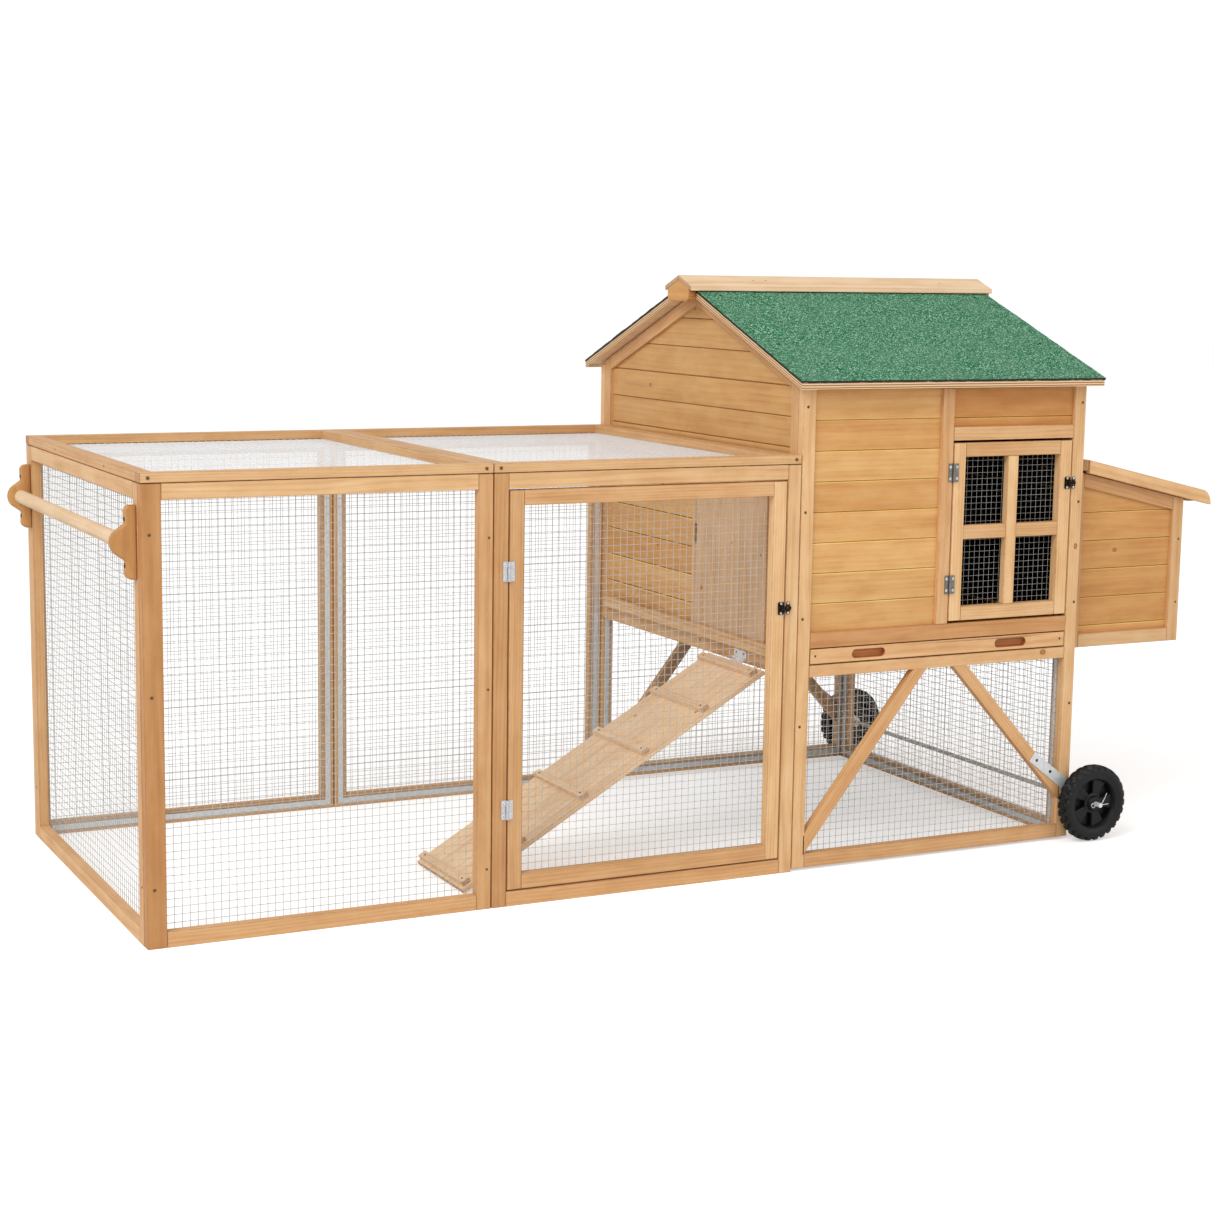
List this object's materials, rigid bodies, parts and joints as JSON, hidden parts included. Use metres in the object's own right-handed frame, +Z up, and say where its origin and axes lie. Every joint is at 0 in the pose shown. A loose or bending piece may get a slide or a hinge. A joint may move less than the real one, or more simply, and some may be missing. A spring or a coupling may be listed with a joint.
{
  "type": "chicken coop",
  "caption": "Movable wooden chicken coop: wire run with door and ramp, raised gabled house with window door and pull-out tray, side nest box, wheels and a carrying handle.",
  "frame": {"origin": "bottom centre of the bounding box, on the ground", "axes": "+X along the coop from the handle towards the nest box, -Y towards the side with the run door and the window door, +Z up"},
  "size_m": [2.437, 1.031, 1.1981],
  "materials": {
    "pine": "satin",
    "pine_board": "satin",
    "pale_pine": "satin",
    "roof_felt": "matte",
    "welded_mesh": "satin",
    "zinc_steel": "satin",
    "tray_sheet": "satin",
    "dark_latch": "satin",
    "black_plastic": "matte"
  },
  "bodies": {
    "root": {"run_end_frame": "pine", "run_front_frame": "pine", "run_back_frame_left": "pine", "run_back_frame_right": "pine", "run_top_frame_left": "pine", "run_top_frame_right": "pine", "run_end_mesh": "welded_mesh", "run_front_mesh": "welded_mesh", "run_back_mesh": "welded_mesh", "run_top_mesh": "welded_mesh", "run_door_surround": "pine", "run_door_hinge_upper_fixed": "zinc_steel", "run_door_hinge_lower_fixed": "zinc_steel", "handle_bracket_front": "pine_board", "handle_bracket_back": "pine_board", "handle_rod": "pale_pine", "house_front_wall": "pine", "house_back_wall": "pine", "house_left_wall": "pine_board", "house_right_wall": "pine", "under_house_mesh": "welded_mesh", "roost_bar": "pale_pine", "window_hinge_upper_fixed": "zinc_steel", "window_hinge_lower_fixed": "zinc_steel", "roof_boards_front": "pine_board", "roof_boards_back": "pine_board", "roof_felt_front": "roof_felt", "roof_felt_back": "roof_felt", "ridge_cap": "pine", "nest_side_front": "pine", "nest_side_back": "pine", "nest_end": "pine", "nest_floor": "pine_board", "nest_divider": "pine_board", "nest_lid_hinge_fixed": "zinc_steel", "ramp_hinge_fixed": "zinc_steel", "axle": "zinc_steel", "wheel_bracket_front": "zinc_steel", "wheel_bracket_back": "zinc_steel", "wheel_clip_front": "zinc_steel", "wheel_clip_back": "zinc_steel"},
    "run_door": {"run_door_leaf": "pine", "run_door_mesh": "welded_mesh", "run_door_hinge_upper_moving": "zinc_steel", "run_door_hinge_lower_moving": "zinc_steel"},
    "run_door_latch": {"run_door_latch": "dark_latch"},
    "window_door": {"window_leaf": "pine", "window_mesh": "welded_mesh", "window_hinge_upper_moving": "zinc_steel", "window_hinge_lower_moving": "zinc_steel"},
    "window_latch": {"window_latch": "dark_latch"},
    "pop_door": {"pop_door": "pine_board"},
    "tray": {"tray_front": "pine", "tray_pan": "tray_sheet"},
    "nest_lid": {"nest_lid": "pine", "nest_lid_hinge_moving": "zinc_steel"},
    "ramp": {"ramp": "pale_pine", "ramp_hinge_moving": "zinc_steel"},
    "wheel_front": {"wheel_front": "black_plastic"},
    "wheel_back": {"wheel_back": "black_plastic"}
  },
  "joints": [
    {"name": "run_door_swing", "type": "hinge", "parent": "root", "child": "run_door", "pos_m": [-0.4765, -0.457, 0.416], "axis": [0, 0, -1], "range_deg": [0, 170]},
    {"name": "run_door_latch_turn", "type": "hinge", "parent": "run_door", "child": "run_door_latch", "pos_m": [0.1165, -0.457, 0.545], "axis": [0, -1, 0], "range_deg": [0, 90]},
    {"name": "window_door_swing", "type": "hinge", "parent": "root", "child": "window_door", "pos_m": [0.521, -0.457, 0.681], "axis": [0, 0, -1], "range_deg": [0, 165]},
    {"name": "window_latch_turn", "type": "hinge", "parent": "window_door", "child": "window_latch", "pos_m": [0.8115, -0.457, 0.776], "axis": [0, -1, 0], "range_deg": [0, 90]},
    {"name": "pop_door_slide", "type": "slide", "parent": "root", "child": "pop_door", "axis": [0, 1, 0], "range_m": [0, 0.3]},
    {"name": "tray_slide", "type": "slide", "parent": "root", "child": "tray", "axis": [0, -1, 0], "range_m": [0, 0.75]},
    {"name": "nest_lid_swing", "type": "hinge", "parent": "root", "child": "nest_lid", "pos_m": [0.8795, 0, 0.8246], "axis": [0, -1, 0], "range_deg": [0, 85]},
    {"name": "ramp_swing", "type": "hinge", "parent": "root", "child": "ramp", "pos_m": [0.1535, -0.2265, 0.405], "axis": [0, 1, 0], "range_deg": [0, 55]},
    {"name": "wheel_front_spin", "type": "hinge", "parent": "root", "child": "wheel_front", "pos_m": [0.8925, -0.4835, 0.083], "axis": [0, 1, 0], "continuous": true},
    {"name": "wheel_back_spin", "type": "hinge", "parent": "root", "child": "wheel_back", "pos_m": [0.8925, 0.4835, 0.083], "axis": [0, 1, 0], "continuous": true}
  ]
}
